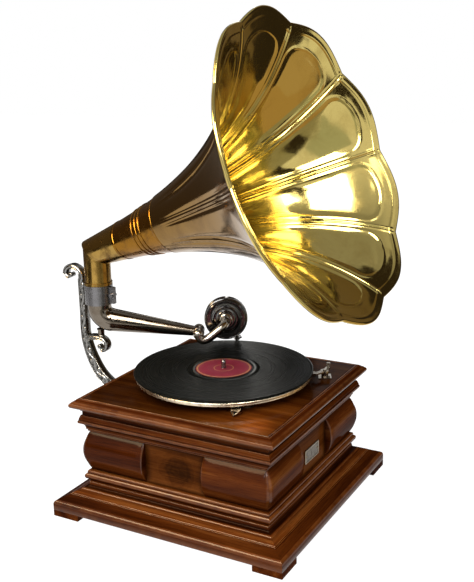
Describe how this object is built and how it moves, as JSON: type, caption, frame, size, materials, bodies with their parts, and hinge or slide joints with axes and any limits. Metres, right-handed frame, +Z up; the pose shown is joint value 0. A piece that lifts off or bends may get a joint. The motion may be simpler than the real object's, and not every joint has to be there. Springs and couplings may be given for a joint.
{
  "type": "wind-up gramophone",
  "caption": "Wind-up gramophone: moulded wooden case, turntable with a record, bracket, swinging tonearm with soundbox, petal horn and crank.",
  "frame": {"origin": "middle of the case, on the surface that its feet stand on", "axes": "+Z up along the spindle; -Y to the front, where the horn's mouth faces; +X to the crank's side"},
  "size_m": [0.4676, 0.5035, 0.6681],
  "materials": {
    "dark_wood": "gloss",
    "panel_wood": "gloss",
    "plain_wood": "matte",
    "plate_brass": "satin",
    "horn_brass": "polished",
    "aged_brass": "satin",
    "gear_brass": "satin",
    "nickel": "polished",
    "steel": "satin",
    "felt": "matte",
    "shellac": "gloss",
    "label_paper": "matte",
    "dark_chrome": "polished",
    "mica": "satin"
  },
  "bodies": {
    "case": {"plinth_rails": "dark_wood", "feet": "dark_wood", "bottom_board": "plain_wood", "front_panel": "panel_wood", "back_panel": "panel_wood", "left_panel": "panel_wood", "right_panel": "panel_wood", "corner_posts": "plain_wood", "corner_bolsters": "dark_wood", "lower_mouldings": "dark_wood", "upper_mouldings": "dark_wood", "top_frame": "dark_wood", "motor_board": "dark_wood", "bottom_screws": "steel", "name_plate": "plate_brass", "crank_escutcheon": "nickel", "bracket": "nickel", "bracket_screws": "steel", "arm_collar": "steel", "brake_base": "nickel", "speed_plate": "plate_brass", "motor_top_plate": "steel", "motor_bottom_plate": "steel", "motor_pillars": "nickel", "motor_bolts": "steel", "governor_bearings": "gear_brass"},
    "turntable": {"spindle": "steel", "governor_wheel": "gear_brass", "platter": "nickel", "felt_mat": "felt", "record": "shellac", "record_label": "label_paper"},
    "intermediate": {"intermediate_shaft": "gear_brass"},
    "barrel": {"spring_barrel": "gear_brass", "barrel_cover": "gear_brass", "mainspring": "steel"},
    "governor": {"governor_shaft": "steel", "governor_worm": "gear_brass", "governor_springs": "steel", "governor_weights": "gear_brass"},
    "crank": {"crank_shaft": "steel", "crank_gear": "gear_brass", "crank_arm": "nickel"},
    "crank_grip": {"crank_handle": "dark_wood"},
    "arbor": {"winding_arbor": "steel", "arbor_gear": "gear_brass"},
    "pawl": {"ratchet_pawl": "steel"},
    "speed": {"speed_lever": "nickel", "governor_brake": "steel"},
    "brake": {"brake_lever": "nickel"},
    "arm": {"tonearm": "nickel"},
    "head": {"gooseneck": "nickel", "soundbox": "dark_chrome", "diaphragm": "mica"},
    "stylus": {"stylus_bar": "nickel", "needle": "steel"},
    "clamp_screw": {"needle_screw": "steel"},
    "horn": {"horn_elbow": "aged_brass", "horn_neck": "aged_brass", "horn_bell": "horn_brass"}
  },
  "joints": [
    {"name": "turntable_spin", "type": "hinge", "parent": "case", "child": "turntable", "pos_m": [0, 0, 0.172], "axis": [0, 0, 1], "continuous": true},
    {"name": "intermediate_spin", "type": "hinge", "parent": "case", "child": "intermediate", "pos_m": [0.00451, 0.04603, 0.12], "axis": [0, 0, 1], "continuous": true},
    {"name": "barrel_spin", "type": "hinge", "parent": "case", "child": "barrel", "pos_m": [0.06, 0.045, 0.11], "axis": [0, 0, 1], "continuous": true},
    {"name": "governor_spin", "type": "hinge", "parent": "case", "child": "governor", "pos_m": [-0.03021, 0, 0.109], "axis": [0, 1, 0], "continuous": true},
    {"name": "crank_turn", "type": "hinge", "parent": "case", "child": "crank", "pos_m": [0.1784, 0.02096, 0.082], "axis": [1, 0, 0], "continuous": true},
    {"name": "grip_spin", "type": "hinge", "parent": "crank", "child": "crank_grip", "pos_m": [0.2144, 0.02096, 0.022], "axis": [1, 0, 0], "continuous": true},
    {"name": "arbor_turn", "type": "hinge", "parent": "case", "child": "arbor", "pos_m": [0.06, 0.045, 0.082], "axis": [0, 0, 1], "continuous": true},
    {"name": "pawl_lift", "type": "hinge", "parent": "case", "child": "pawl", "pos_m": [0.082, 0.057, 0.0725], "axis": [0, 0, 1], "range_deg": [0, 18], "stiffness_Nm_per_rad": 0.02},
    {"name": "speed_turn", "type": "hinge", "parent": "case", "child": "speed", "pos_m": [-0.064, -0.07, 0.168], "axis": [0, 0, 1], "range_deg": [-12, 0]},
    {"name": "brake_turn", "type": "hinge", "parent": "case", "child": "brake", "pos_m": [0.07493, -0.12063, 0.174], "axis": [0, 0, 1], "range_deg": [0, 25]},
    {"name": "tonearm_swing", "type": "hinge", "parent": "case", "child": "arm", "pos_m": [0, 0.21, 0.24], "axis": [0, 0, 1], "range_deg": [-21, 22]},
    {"name": "gooseneck_lift", "type": "hinge", "parent": "arm", "child": "head", "pos_m": [0.07212, 0.08305, 0.20679], "axis": [-0.8695, -0.4939, 0], "range_deg": [0, 80]},
    {"name": "stylus_rock", "type": "hinge", "parent": "head", "child": "stylus", "pos_m": [0.11455, 0.04155, 0.19019], "axis": [0.4401, -0.7747, 0.454], "range_deg": [-1, 1], "stiffness_Nm_per_rad": 0.5},
    {"name": "needle_screw_turn", "type": "hinge", "parent": "stylus", "child": "clamp_screw", "pos_m": [0.11476, 0.0412, 0.18939], "axis": [0.4401, -0.7747, 0.454], "continuous": true},
    {"name": "horn_swivel", "type": "hinge", "parent": "case", "child": "horn", "pos_m": [0, 0.21, 0.265], "axis": [0, 0, 1], "range_deg": [-90, 90]}
  ],
  "couplings": [
    {"joint": "intermediate_spin", "follows": "turntable_spin", "ratio": -0.23333},
    {"joint": "barrel_spin", "follows": "turntable_spin", "ratio": 0.054444},
    {"joint": "governor_spin", "follows": "turntable_spin", "ratio": 12},
    {"joint": "arbor_turn", "follows": "crank_turn", "ratio": -0.7}
  ]
}
